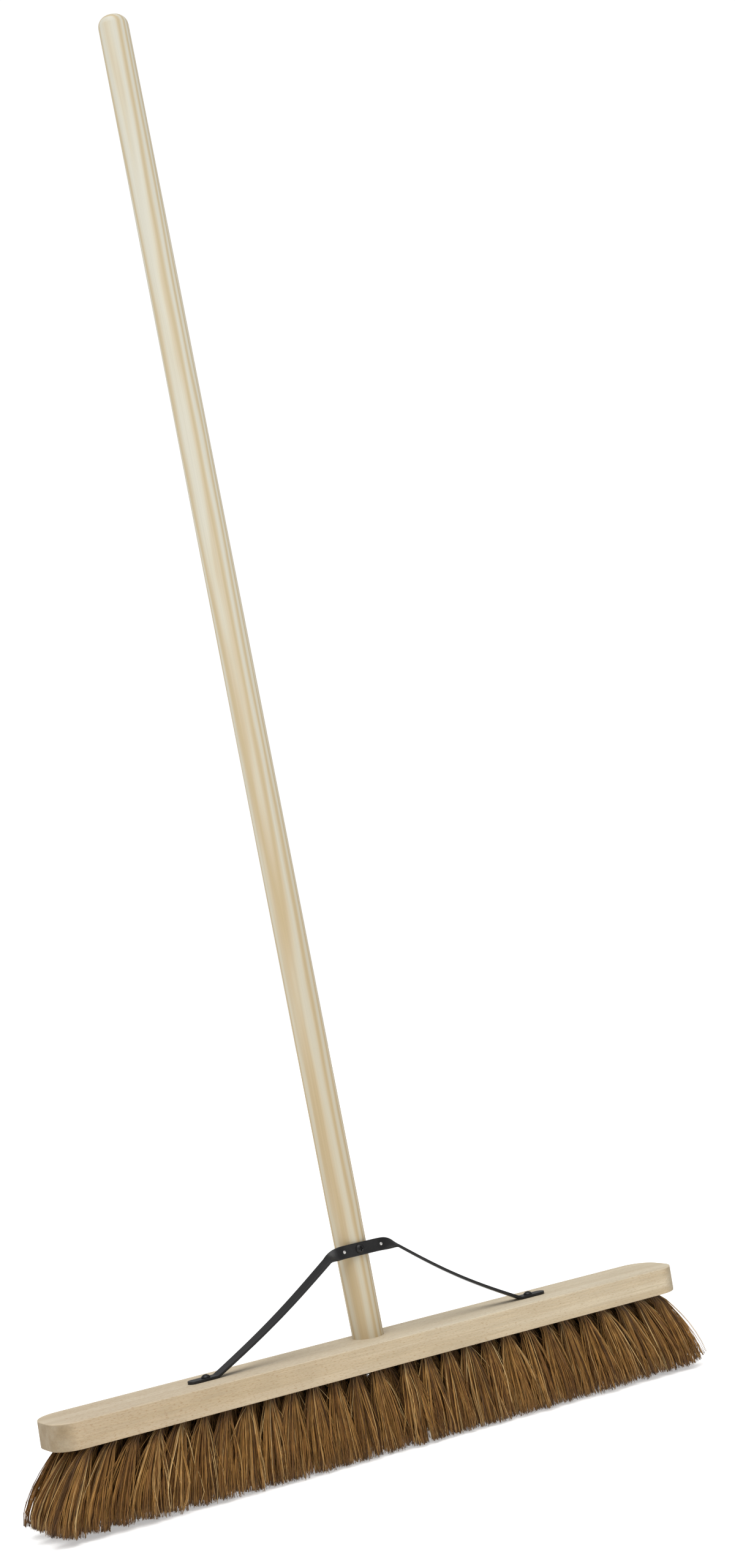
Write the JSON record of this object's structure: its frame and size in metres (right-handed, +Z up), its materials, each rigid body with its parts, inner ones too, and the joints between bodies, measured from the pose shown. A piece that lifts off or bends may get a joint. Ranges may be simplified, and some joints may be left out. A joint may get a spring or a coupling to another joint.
{
  "type": "push broom",
  "caption": "Push broom: flat wooden stock with rows of coir tufts, round wooden handle in a socket, and a twisted black steel stay bracing handle to stock.",
  "frame": {"origin": "on the floor plane in which the tuft tips end, at the centre of the brush face", "axes": "+Z up, along the height of the broom; +X along the stock to the right; -Y is the side the broom is pushed towards, and the handle leans towards +Y"},
  "size_m": [0.618, 0.1526, 1.2906],
  "materials": {
    "stock_wood": "matte",
    "handle_wood": "satin",
    "black_steel": "satin",
    "screw_steel": "satin",
    "staple_wire": "satin",
    "coir": "matte"
  },
  "bodies": {
    "head": {"stock": "stock_wood", "handle": "handle_wood", "stay": "black_steel", "stay_foot_screw_left": "screw_steel", "stay_foot_screw_right": "screw_steel", "stay_handle_screw": "screw_steel", "tuft_roots_row_1": "coir", "tuft_roots_row_2": "coir", "tuft_roots_row_3": "coir", "tuft_roots_row_4": "coir", "tuft_roots_row_5": "coir", "staples_row_1": "staple_wire", "staples_row_2": "staple_wire", "staples_row_3": "staple_wire", "staples_row_4": "staple_wire", "staples_row_5": "staple_wire"},
    "bristles_row_1": {"tuft_row_1": "coir"},
    "bristles_row_2": {"tuft_row_2": "coir"},
    "bristles_row_3": {"tuft_row_3": "coir"},
    "bristles_row_4": {"tuft_row_4": "coir"},
    "bristles_row_5": {"tuft_row_5": "coir"}
  },
  "joints": [
    {"name": "row_1_flex", "type": "hinge", "parent": "head", "child": "bristles_row_1", "pos_m": [0, -0.023, 0.0657], "axis": [1, 0, 0], "range_deg": [-25, 25], "stiffness_Nm_per_rad": 0.8},
    {"name": "row_2_flex", "type": "hinge", "parent": "head", "child": "bristles_row_2", "pos_m": [0, -0.0115, 0.0657], "axis": [1, 0, 0], "range_deg": [-25, 25], "stiffness_Nm_per_rad": 0.8},
    {"name": "row_3_flex", "type": "hinge", "parent": "head", "child": "bristles_row_3", "pos_m": [0, 0, 0.0657], "axis": [1, 0, 0], "range_deg": [-25, 25], "stiffness_Nm_per_rad": 0.8},
    {"name": "row_4_flex", "type": "hinge", "parent": "head", "child": "bristles_row_4", "pos_m": [0, 0.0115, 0.0657], "axis": [1, 0, 0], "range_deg": [-25, 25], "stiffness_Nm_per_rad": 0.8},
    {"name": "row_5_flex", "type": "hinge", "parent": "head", "child": "bristles_row_5", "pos_m": [0, 0.023, 0.0657], "axis": [1, 0, 0], "range_deg": [-25, 25], "stiffness_Nm_per_rad": 0.8}
  ],
  "couplings": [
    {"joint": "row_1_flex", "follows": "row_3_flex", "ratio": 1},
    {"joint": "row_2_flex", "follows": "row_3_flex", "ratio": 1},
    {"joint": "row_4_flex", "follows": "row_3_flex", "ratio": 1},
    {"joint": "row_5_flex", "follows": "row_3_flex", "ratio": 1}
  ]
}
